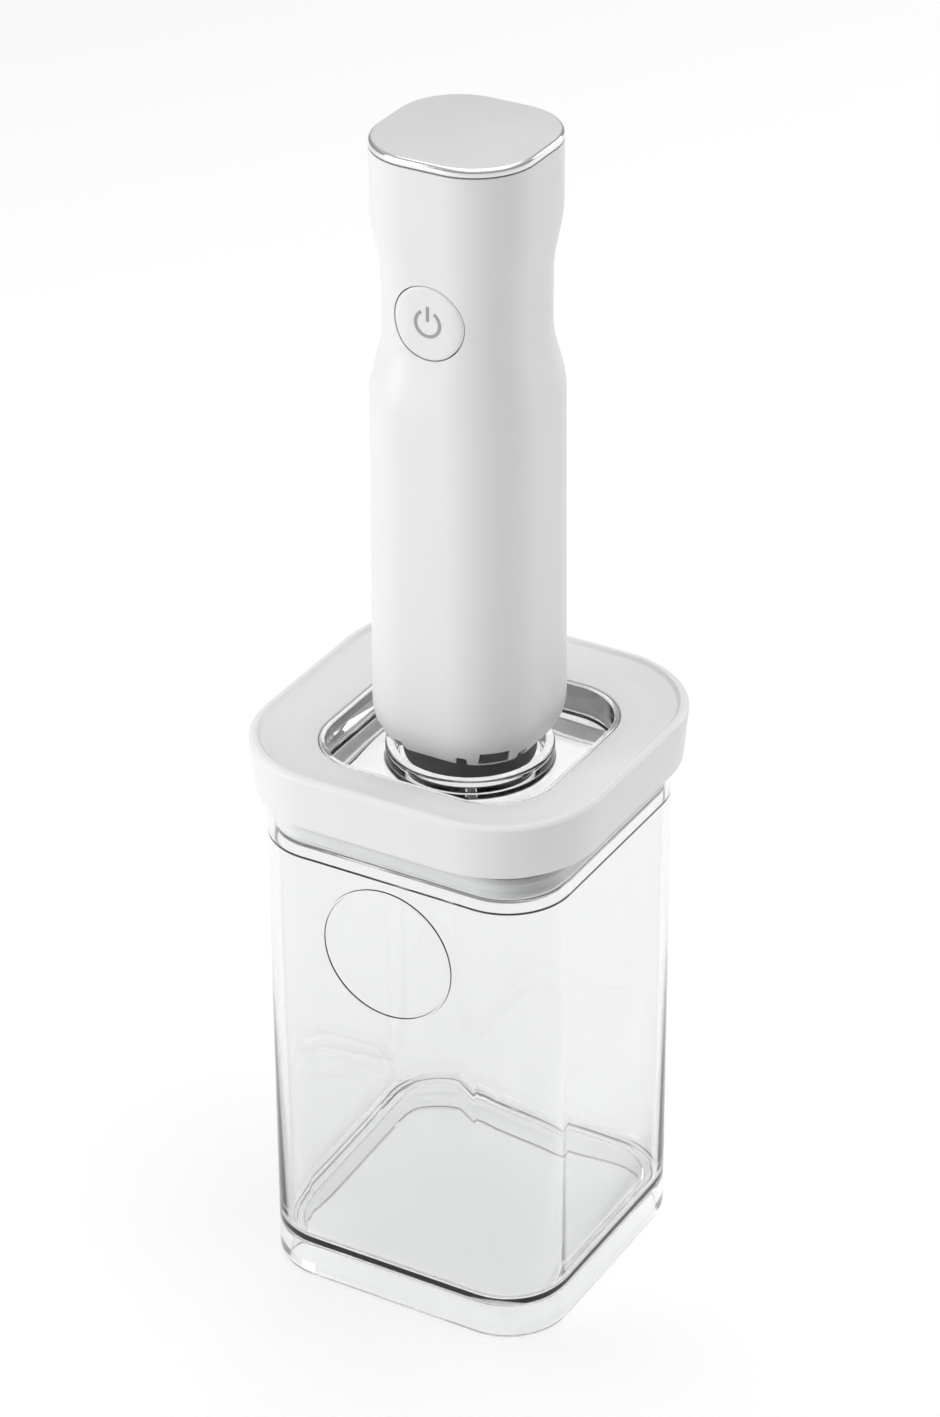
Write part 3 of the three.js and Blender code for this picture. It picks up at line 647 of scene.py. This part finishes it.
def build_power_mark():
    """A plain on-off symbol: an open ring and a bar, laid on the button's curved face."""
    outer, inner = 4.2 * MM, 3.3 * MM
    thick = 0.12 * MM
    bm = bmesh.new()
    bar = [(x, z) for x in (-0.45 * MM, 0.45 * MM) for z in (0.6 * MM, 5.0 * MM)]
    quad = [bm.verts.new((bar[i][0], 0, bar[i][1])) for i in (0, 2, 3, 1)]
    bm.faces.new(quad)
    arm = [bm.verts.new((0, 0, -outer)), bm.verts.new((0, 0, -inner))]
    stroke = bm.edges.new(arm)
    for way in (-1, 1):
        start = bmesh.ops.duplicate(bm, geom=[*arm, stroke])["geom"]
        bmesh.ops.spin(
            bm, geom=start, cent=(0, 0, 0), axis=(0, 1, 0), dvec=(0, 0, 0), angle=way * math.radians(148),
            steps=40, use_merge=False, use_duplicate=False,
        )
    bmesh.ops.delete(bm, geom=arm, context="VERTS")
    bmesh.ops.remove_doubles(bm, verts=bm.verts, dist=0.01 * MM)
    bmesh.ops.subdivide_edges(bm, edges=[e for e in bm.edges if e.calc_length() > 1.5 * MM], cuts=5)
    base = list(bm.faces)
    lifted = bmesh.ops.extrude_face_region(bm, geom=base)["geom"]
    raised = {vert for vert in lifted if isinstance(vert, bmesh.types.BMVert)}
    for vert in bm.verts:
        height = BUTTON_HEIGHT + vert.co.z
        lift = thick if vert in raised else -thick
        vert.co = (vert.co.x, casing_front(vert.co.x, height) - lift, height)
    ink = plastic("printed_mark", settings().finish.mark, 0.4, 0.55, 1600.0, 0.2, 0.05)
    piece_from(bm, "power_mark", ink, "button", [], 40)


def build_seal():
    low, high = SEAL_LOW[2], SEAL_HIGH[2]
    edge = SHELL_LOW[2]
    profile = in_metres([
        (16.7, 0, 0.4), (18.9, 0, 0.8), (19.35, 1.6, 0.8), (18.9, 4.4, 1.2),
    ])
    profile = [(half, low + height, radius) for half, height, radius in profile]
    profile += [
        (19.4 * MM, edge + 0.4 * MM, 0.3 * MM), (19.4 * MM, high, 0.3 * MM), (15.5 * MM, high, 0.3 * MM),
        (15.5 * MM, low + 5 * MM, 1 * MM), (15.9 * MM, low + 2 * MM, 0.6 * MM),
    ]
    bm = bmesh.new()
    turned(bm, rounded(profile, 4))
    tabs = bmesh.new()
    for eighth in (1, 3, 5, 7):
        spot = (21.9 * MM, 0, edge + 3.4 * MM)
        block(tabs, (7 * MM, 7.8 * MM, 3.6 * MM), spot, eighth * math.pi / 4, bevel=0.4 * MM)
        spot = (25.3 * MM, 0, edge + 3.4 * MM)
        block(tabs, (0.5 * MM, 6 * MM, 0.5 * MM), spot, eighth * math.pi / 4)
    piece = combined(bm, tabs, "UNION", "suction_cup")
    rubber = plastic("seal_rubber", settings().finish.rubber, 0.45, 0.6, 700.0, 0.35, 0.1, specular=0.4)
    settle(piece, rubber, "pump", ["suction_seal"])


# ---- lid ----
def lid_corner(half):
    """Corner radius in the lid frame: large outside, smaller round the window."""
    lid = settings().lid
    share = (half - lid.opening) / (FRAME_HIGH[0] - lid.opening)
    return lid.opening_corner + (lid.corner - lid.opening_corner) * share


def box_corner(half):
    sizes = settings().box
    if half > sizes.half + NUDGE:
        return sizes.rim_corner
    return max(sizes.corner + half - sizes.half, 1 * MM)


def build_lid_frame():
    lid = settings().lid
    half, low, high = FRAME_HIGH[0], FRAME_LOW[2], FRAME_HIGH[2]
    inside = lid.opening
    profile = [
        (half - lid.taper, low, 0.5 * MM), (half, high - 1.0 * MM, 1.2 * MM),
        (half - 1.1 * MM, high, 0.7 * MM),
        (half - 2.3 * MM, high, 0.5 * MM), (half - 3.2 * MM, high - 1.1 * MM, 0.6 * MM),
        (inside + 8 * MM, high - 2.8 * MM, 4 * MM), (inside, lid.window_top + 0.1 * MM, 0.5 * MM),
        (inside, lid.floor + 0.1 * MM, 0.2 * MM), (inside + 2 * MM, lid.floor + 0.1 * MM, 0.2 * MM),
        (inside + 2 * MM, lid.window_top - 2.6 * MM, 0.5 * MM),
        (half - lid.wall - 1 * MM, lid.window_top, 0.8 * MM),
        (half - lid.wall - lid.taper, low, 0.5 * MM),
    ]
    bm = bmesh.new()
    squared(bm, rounded(profile, 5), lid_corner)
    piece_from(bm, "lid_rim", white_plastic(), "lid", ["lid_frame"], 60)


def build_window():
    lid, sizes = settings().lid, settings().box
    wall_out = lid.opening - lid.clearance
    wall_in = wall_out - lid.tray_wall
    under = lid.floor - lid.plate
    low, flange = WINDOW_LOW[2], WINDOW_HIGH[0]
    plug = lid.plug
    plug_in = plug - lid.plug_wall
    boss_in = lid.boss - lid.boss_wall
    hole = lid.air_hole
    profile = [
        (hole, under, 0), (plug_in, under, 1 * MM), (plug_in, low, 0.2 * MM), (flange, low, 0.3 * MM),
        (flange, low + 1.2 * MM, 0.3 * MM), (plug, low + 1.2 * MM, 0.3 * MM),
        (plug, lid.floor - 0.5 * MM, 0.5 * MM),
        (wall_out, lid.floor - 0.5 * MM, 0.3 * MM), (wall_out, lid.window_top, 0.4 * MM),
        (wall_in, lid.window_top, 0.4 * MM), (wall_in, lid.floor, 1.2 * MM),
        (lid.boss, lid.floor, 0.8 * MM), (lid.boss, lid.boss_top, 0.9 * MM),
        (boss_in, lid.boss_top, 0.6 * MM), (boss_in, lid.floor, 0.4 * MM),
        (lid.pad, lid.floor, 0.4 * MM), (lid.pad, lid.pad_top, 0.4 * MM), (hole, lid.pad_top, 0),
    ]

    def corner_of(half):
        if half > lid.opening:
            return sizes.corner + half - sizes.half
        parallel = lid.opening_corner + half - lid.opening
        share = (half - lid.boss - 1 * MM) / (wall_in - lid.boss - 3 * MM)
        share = min(max(share, 0), 1)
        return half * (1 - share) + parallel * share

    bm = bmesh.new()
    squared(bm, rounded(profile, 5), corner_of)
    piece_from(bm, "window", window_plastic(), "lid", ["lid_window"], 50)


def build_gasket():
    low, high, lip = GASKET_LOW[2], GASKET_HIGH[2], GASKET_HIGH[0]
    inside = lip - 1.8 * MM
    valley = lip - 0.8 * MM
    profile = [
        (inside, low, 0.2 * MM), (valley, low, 0.2 * MM), (lip, low + 1.4 * MM, 0.5 * MM),
        (valley, low + 2.4 * MM, 0.3 * MM), (valley, low + 4 * MM, 0.3 * MM), (lip, low + 5 * MM, 0.4 * MM),
        (valley, high, 0.2 * MM), (inside, high, 0.2 * MM),
    ]
    bm = bmesh.new()
    squared(bm, rounded(profile, 3), box_corner)
    piece_from(bm, "gasket", milky_silicone(), "lid", ["lid_gasket"], 60)


def milky_silicone():
    return plastic("soft_silicone", settings().finish.milky, 0.4, 0.5, 600.0, 0.2, 0.05, specular=0.4)


def build_valve():
    lid = settings().lid
    seat = lid.pad_top + lid.clearance
    low, high = VALVE_LOW[2], VALVE_HIGH[2]
    profile = [
        (0, low, 0), (1.4 * MM, low + 0.1 * MM, 0.6 * MM), (2.4 * MM, low + 1.2 * MM, 0.4 * MM),
        (1.5 * MM, low + 2.6 * MM, 0.3 * MM), (1.5 * MM, seat, 0.2 * MM), (7.4 * MM, seat, 0.1 * MM),
        (7.4 * MM, seat + 0.5 * MM, 0.2 * MM), (6 * MM, seat + 1.2 * MM, 0.5 * MM), (0, high, 0),
    ]
    bm = bmesh.new()
    turned(bm, rounded(profile, 3), 64)
    tab = bmesh.new()
    peg(tab, 2.4 * MM, 0.9 * MM, (8.2 * MM, 0, seat + 0.55 * MM), segments=40)
    piece = combined(bm, tab, "UNION", "release_valve", edge=0.1 * MM)
    settle(piece, milky_silicone(), "valve", ["lid_valve"])


# ---- box ----
def build_box():
    sizes = settings().box
    half, top, rim = sizes.half, BOX_HIGH[2], BOX_HIGH[0]
    inner, mouth = half - sizes.wall, half - sizes.rim_wall
    profile = [
        (0, sizes.foot, 0), (42 * MM, sizes.foot, 1.5 * MM), (43.4 * MM, 0, 0.5 * MM),
        (half - 0.8 * MM, 0, 0.6 * MM), (half, 2.4 * MM, 2.0 * MM),
        (half, top - 3 * MM, 0.3 * MM), (rim, top - 2.6 * MM, 0.4 * MM), (rim, top, 0.6 * MM),
        (mouth, top, 0.6 * MM),
        (mouth, sizes.ledge, 0.3 * MM), (inner, sizes.ledge - 1 * MM, 0.4 * MM), (inner, sizes.floor, 3 * MM),
        (0, sizes.floor, 0),
    ]
    bm = bmesh.new()
    squared(bm, rounded(profile, 6), box_corner)
    badge = bmesh.new()
    outline = [
        (sizes.badge - 1.2 * MM, -0.6 * MM), (sizes.badge, -0.6 * MM),
        (sizes.badge - 0.3 * MM, 0.45 * MM), (sizes.badge - 0.9 * MM, 0.45 * MM),
    ]
    turned(badge, outline)
    stand = Matrix.Translation((0, -half, sizes.badge_height)) @ Matrix.Rotation(math.pi / 2, 4, "X")
    bmesh.ops.transform(badge, matrix=stand, verts=badge.verts)
    piece = combined(bm, badge, "UNION", "clear_box", sharp=50)
    settle(piece, box_plastic(), "box", ["storage_box"])


# ---- inner pieces ----
def finish_inner_pieces():
    """Gives every CAD piece that stays in the model its material."""
    light = plastic("light_plastic", (0.42, 0.43, 0.44), 0.45, 0.6, 900.0, 0.3, 0.05)
    dark = plastic("black_plastic", (0.03, 0.03, 0.033), 0.4, 0.55, 900.0, 0.3, 0.1)
    rubber = plastic("seal_rubber", settings().finish.rubber, 0.45, 0.6, 700.0, 0.35, 0.1)
    steel = metal("plain_steel", (0.56, 0.57, 0.58), 0.22, 0.36)
    brass = metal("turned_brass", (0.72, 0.53, 0.24), 0.2, 0.34)
    sleeve = plastic("shrink_sleeve", (0.05, 0.17, 0.36), 0.25, 0.35, 300.0, 0.15, 0.08, coat=0.2)
    red = plastic("red_wire", (0.42, 0.02, 0.02), 0.35, 0.5, 800.0, 0.2, 0.08)
    milky = milky_silicone()
    choices = {
        "inner_plastic": light, "dark_plastic": dark, "grey_silicone": rubber, "steel": steel, "brass": brass,
        "cell_wrap": sleeve, "red_insulation": red, "milky_silicone": milky, "circuit_green": circuit_board(),
        "white_housing": white_plastic(), "satin_cap": satin_cap_metal(), "clear_plastic": box_plastic(),
    }
    for part in frame["record"]["subparts"]:
        node = frame["nodes"][part["node"]]
        for holder in node.material_slots:
            holder.material = choices[part["material_slot"]]


# ---- stage ----
# Lens and sensor are in millimetres, turns in degrees, the distance and the height aimed at in metres.
FOCAL_LENGTH = 115.1
SENSOR_WIDTH = 36
CAMERA_AZIMUTH = 30.0
CAMERA_ELEVATION = 30.25
CAMERA_ROLL = -0.35
CAMERA_DISTANCE = 1.299
CAMERA_AIM = 0.1819


def build_stage():
    """Pale floor, soft lights and the camera."""
    scene = bpy.context.scene
    bm = bmesh.new()
    bmesh.ops.create_grid(bm, x_segments=2, y_segments=2, size=6)
    floor = as_object(bm, "floor")
    floor.location.z = -0.05 * MM
    paint = bpy.data.materials.new("floor_paint")
    paint.use_nodes = True
    shader = paint.node_tree.nodes["Principled BSDF"]
    shader.inputs["Base Color"].default_value = (0.97, 0.97, 0.97, 1)
    shader.inputs["Roughness"].default_value = 0.9
    shader.inputs["Specular IOR Level"].default_value = 0.1
    floor.data.materials.append(paint)

    world = bpy.data.worlds.new("soft_room")
    world.use_nodes = True
    tree = world.node_tree
    height = add(tree, "ShaderNodeSeparateXYZ", [(0, add(tree, "ShaderNodeTexCoord").outputs["Generated"])])
    rise = add(tree, "ShaderNodeMapRange", [
        ("Value", height.outputs["Z"]), ("From Max", 0.9), ("To Min", 0.26), ("To Max", 0.72),
    ])
    tree.links.new(rise.outputs["Result"], tree.nodes["Background"].inputs["Strength"])
    tree.nodes["Background"].inputs["Color"].default_value = (1, 1, 1, 1)
    scene.world = world
    scene.view_settings.view_transform = "Standard"

    middle = Vector((0, 0, 0.2))
    lamps = [
        ("key", (-1.25, -1.25, 0.55), 1.0, 15.0),
        ("rim", (0.75, 1.5, 0.6), 0.7, 5.5),
        ("back", (-0.9, 1.5, 1.0), 1.5, 2.0),
        ("top", (0.1, 0.1, 1.7), 1.6, 11.0),
    ]
    for name, place, size, power in lamps:
        light = bpy.data.lights.new(name, "AREA")
        light.shape = "SQUARE"
        light.size = size
        light.energy = power
        lamp = bpy.data.objects.new(name, light)
        lamp.location = place
        lamp.rotation_euler = (middle - Vector(place)).to_track_quat("-Z", "Y").to_euler()
        scene.collection.objects.link(lamp)

    lens = bpy.data.cameras.new("camera")
    lens.lens = FOCAL_LENGTH
    lens.sensor_width = SENSOR_WIDTH
    lens.clip_start = 0.05
    camera = bpy.data.objects.new("camera", lens)
    azimuth, elevation = math.radians(CAMERA_AZIMUTH), math.radians(CAMERA_ELEVATION)
    target = Vector((0, 0, CAMERA_AIM))
    away = Vector((
        math.sin(azimuth) * math.cos(elevation), -math.cos(azimuth) * math.cos(elevation),
        math.sin(elevation),
    ))
    camera.location = target + away * CAMERA_DISTANCE
    roll = Matrix.Rotation(math.radians(CAMERA_ROLL), 4, "Z")
    turn = (-away).to_track_quat("-Z", "Y").to_matrix().to_4x4() @ roll
    camera.rotation_euler = turn.to_euler()
    scene.collection.objects.link(camera)
    scene.camera = camera


# ---- operators ----
class PUMP_OT_stage(bpy.types.Operator):
    """Set up the floor, the lights and the camera"""

    bl_idname = "vacuum_pump.stage"
    bl_label = "Stage"
    bl_options = {"REGISTER", "UNDO"}

    def execute(self, context):
        build_stage()
        return {"FINISHED"}


class PUMP_OT_inner(bpy.types.Operator):
    """Give the inner pieces their materials"""

    bl_idname = "vacuum_pump.inner"
    bl_label = "Inner pieces"
    bl_options = {"REGISTER", "UNDO"}

    def execute(self, context):
        finish_inner_pieces()
        return {"FINISHED"}


class PUMP_OT_box(bpy.types.Operator):
    """Build the clear storage box"""

    bl_idname = "vacuum_pump.box"
    bl_label = "Storage box"
    bl_options = {"REGISTER", "UNDO"}

    def execute(self, context):
        build_box()
        return {"FINISHED"}


class PUMP_OT_lid(bpy.types.Operator):
    """Build the lid frame, its window and its gasket"""

    bl_idname = "vacuum_pump.lid"
    bl_label = "Lid"
    bl_options = {"REGISTER", "UNDO"}

    def execute(self, context):
        build_lid_frame()
        build_window()
        build_gasket()
        return {"FINISHED"}


class PUMP_OT_valve(bpy.types.Operator):
    """Build the lid's release valve"""

    bl_idname = "vacuum_pump.valve"
    bl_label = "Release valve"
    bl_options = {"REGISTER", "UNDO"}

    def execute(self, context):
        build_valve()
        return {"FINISHED"}


class PUMP_OT_casing(bpy.types.Operator):
    """Build the pump's casing and its metal cap"""

    bl_idname = "vacuum_pump.casing"
    bl_label = "Casing"
    bl_options = {"REGISTER", "UNDO"}

    def execute(self, context):
        build_casing()
        build_cap()
        return {"FINISHED"}


class PUMP_OT_button(bpy.types.Operator):
    """Build the push button and the symbol on it"""

    bl_idname = "vacuum_pump.button"
    bl_label = "Button"
    bl_options = {"REGISTER", "UNDO"}

    def execute(self, context):
        build_button()
        build_power_mark()
        return {"FINISHED"}


class PUMP_OT_seal(bpy.types.Operator):
    """Build the grey suction seal"""

    bl_idname = "vacuum_pump.seal"
    bl_label = "Suction seal"
    bl_options = {"REGISTER", "UNDO"}

    def execute(self, context):
        build_seal()
        return {"FINISHED"}


OPERATORS = (
    PUMP_OT_stage, PUMP_OT_inner, PUMP_OT_box, PUMP_OT_lid, PUMP_OT_valve, PUMP_OT_casing, PUMP_OT_button,
    PUMP_OT_seal,
)


class PumpSettings(bpy.types.PropertyGroup):
    """Everything a user may change"""

    box: PointerProperty(type=BoxSizes)
    lid: PointerProperty(type=LidSizes)
    pump: PointerProperty(type=PumpSizes)
    finish: PointerProperty(type=Finish)


class PUMP_PT_sidebar(bpy.types.Panel):
    """Lists the build steps and the sizes"""

    bl_label = "Vacuum Pump"
    bl_idname = "PUMP_PT_sidebar"
    bl_space_type = "VIEW_3D"
    bl_region_type = "UI"
    bl_category = "Vacuum Pump"

    def draw(self, context):
        for operator in OPERATORS:
            self.layout.operator(operator.bl_idname)
        for group in (settings().box, settings().lid, settings().pump, settings().finish):
            column = self.layout.box().column()
            for name in group.bl_rna.properties.keys():
                if name not in ("rna_type", "name"):
                    column.prop(group, name)


CLASSES = (BoxSizes, LidSizes, PumpSizes, Finish, PumpSettings, *OPERATORS, PUMP_PT_sidebar)


def register():
    for one in CLASSES:
        bpy.utils.register_class(one)
    bpy.types.Scene.vacuum_pump = PointerProperty(type=PumpSettings)


def unregister():
    del bpy.types.Scene.vacuum_pump
    for one in reversed(CLASSES):
        bpy.utils.unregister_class(one)


def main():
    register()
    for operator in OPERATORS:
        group, name = operator.bl_idname.split(".")
        getattr(getattr(bpy.ops, group), name)()


if __name__ == "__main__":
    main()
